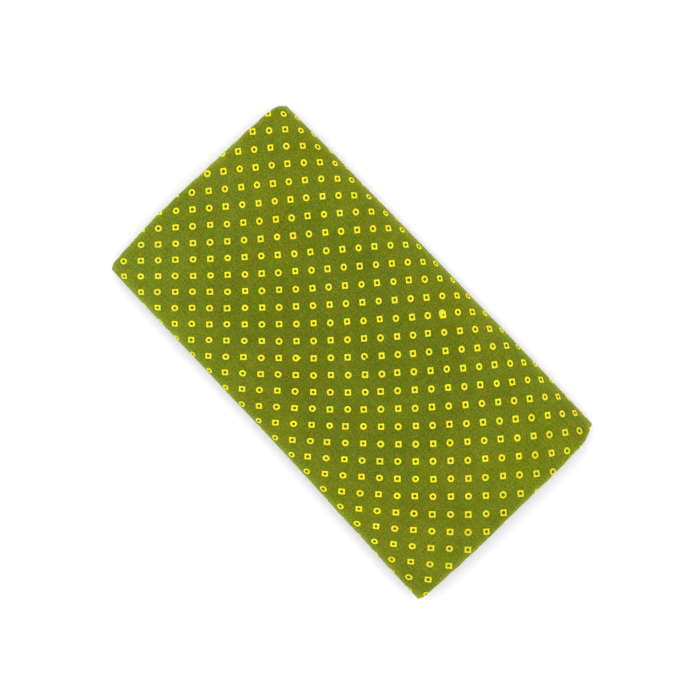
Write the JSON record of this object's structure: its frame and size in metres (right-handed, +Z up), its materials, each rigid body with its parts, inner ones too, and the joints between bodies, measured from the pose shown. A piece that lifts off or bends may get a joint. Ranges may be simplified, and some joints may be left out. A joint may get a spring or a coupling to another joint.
{
  "type": "folded sungudi sari",
  "caption": "Printed cotton sari folded flat into a long rectangular pack, with one thick rounded long side and sharp creases at its short ends.",
  "frame": {"origin": "centre of the pack in plan, on the face it lies on", "axes": "+X along the pack, +Y across it towards the last fold, +Z up through the layers"},
  "size_m": [0.3894, 0.2078, 0.036],
  "materials": {
    "printed_cotton": "matt plain-woven cotton, dyed olive green and printed with small yellow rings and squares"
  },
  "bodies": {
    "root": {"sari_cloth": "printed_cotton"}
  },
  "joints": []
}
